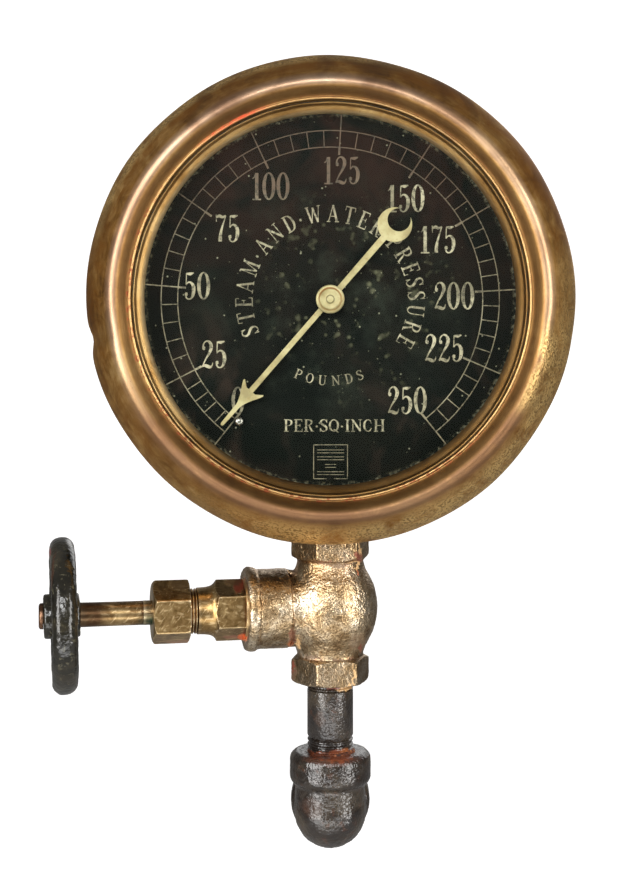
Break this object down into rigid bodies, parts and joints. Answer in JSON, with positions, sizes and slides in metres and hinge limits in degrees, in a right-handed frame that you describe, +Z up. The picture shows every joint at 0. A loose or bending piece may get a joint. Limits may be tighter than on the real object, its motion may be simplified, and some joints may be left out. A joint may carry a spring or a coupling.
{
  "type": "pressure gauge with valve",
  "caption": "Round brass-rimmed dial pressure gauge on a small brass globe valve with a side handwheel, fed from below by a pipe nipple and an elbow.",
  "frame": {"origin": "centre of the elbow's rear outlet face, where the supply pipe screws in", "axes": "+Y out of the elbow's outlet (away from the dial), +Z up the pipe, the dial faces -Y"},
  "size_m": [0.1555, 0.0557, 0.2353],
  "materials": {
    "ring_brass": "aged spun brass, brown patina",
    "valve_brass": "aged rough cast brass",
    "nut_brass": "aged machined brass",
    "bright_brass": "clean turned brass",
    "movement_brass": "clean stamped brass",
    "cast_iron": "dark worn iron with rust",
    "steel": "plain steel",
    "black_enamel": "chipped black enamel on iron",
    "dial_black": "black dial with cream markings",
    "pointer_cream": "cream paint",
    "clear_glass": "clear flat glass",
    "rubber": "old black gasket",
    "graphite": "graphited packing",
    "copper": "coppery worn brass"
  },
  "bodies": {
    "frame": {"elbow": "cast_iron", "nipple": "cast_iron", "valve_body": "valve_brass", "seat_ring": "bright_brass", "bonnet": "nut_brass", "packing_nut": "nut_brass", "packing_ring": "graphite", "packing_gland": "bright_brass", "gauge_socket": "valve_brass", "case_shell": "black_enamel", "front_ring": "ring_brass", "glass_pane": "clear_glass", "glass_gasket": "rubber", "bevel_ring": "bright_brass", "dial_plate": "dial_black", "dial_screw_top": "bright_brass", "dial_screw_bottom": "bright_brass", "stop_pin": "steel", "bourdon_tube": "movement_brass", "movement_plate_front": "movement_brass", "movement_plate_back": "movement_brass", "pillar_left": "movement_brass", "pillar_right": "movement_brass", "pillar_low": "movement_brass", "movement_screw_low": "steel", "movement_screw_high": "steel", "hairspring": "steel", "hairspring_stud": "movement_brass", "auxiliary_spring": "steel", "case_screw_left": "steel", "case_screw_right": "steel"},
    "wheel": {"valve_stem": "nut_brass", "handwheel": "black_enamel", "handwheel_nut": "copper"},
    "disc": {"valve_disc": "bright_brass", "disc_nut": "bright_brass"},
    "pointer": {"pointer": "pointer_cream", "pointer_hub": "pointer_cream", "pinion_arbor": "steel", "hairspring_collet": "movement_brass"},
    "sector": {"sector_gear": "movement_brass"},
    "link": {"link_bar": "movement_brass"},
    "tip": {"tube_tip": "movement_brass"}
  },
  "joints": [
    {"name": "stem_travel", "type": "slide", "parent": "frame", "child": "disc", "axis": [-0.9799, -0.1994, 0], "range_m": [-0.005, 0]},
    {"name": "handwheel_spin", "type": "hinge", "parent": "disc", "child": "wheel", "pos_m": [0, -0.018, 0.0611], "axis": [-0.9799, -0.1994, 0], "range_deg": [-993, 0]},
    {"name": "pointer_turn", "type": "hinge", "parent": "frame", "child": "pointer", "pos_m": [0, -0.018, 0.1523], "axis": [0, 1, 0], "range_deg": [0, 280.4], "stiffness_Nm_per_rad": 0.001, "deforming": ["hairspring"]},
    {"name": "sector_swing", "type": "hinge", "parent": "frame", "child": "sector", "pos_m": [0.005, -0.018, 0.12806], "axis": [0, 1, 0], "range_deg": [-28.2, 0]},
    {"name": "tip_swing", "type": "hinge", "parent": "frame", "child": "tip", "pos_m": [0.01505, -0.018, 0.16505], "axis": [0, 1, 0], "range_deg": [-8.4, 0], "deforming": ["bourdon_tube", "auxiliary_spring"]},
    {"name": "link_swing", "type": "hinge", "parent": "tip", "child": "link", "pos_m": [0.0332, -0.018, 0.1299], "axis": [0, 1, 0], "range_deg": [0, 9.7]}
  ],
  "couplings": [
    {"joint": "handwheel_spin", "follows": "stem_travel", "rad_per_m": 3463.2},
    {"joint": "sector_swing", "follows": "pointer_turn", "ratio": -0.1},
    {"joint": "tip_swing", "follows": "pointer_turn", "ratio": -0.029464},
    {"joint": "link_swing", "follows": "pointer_turn", "ratio": 0.034002}
  ]
}
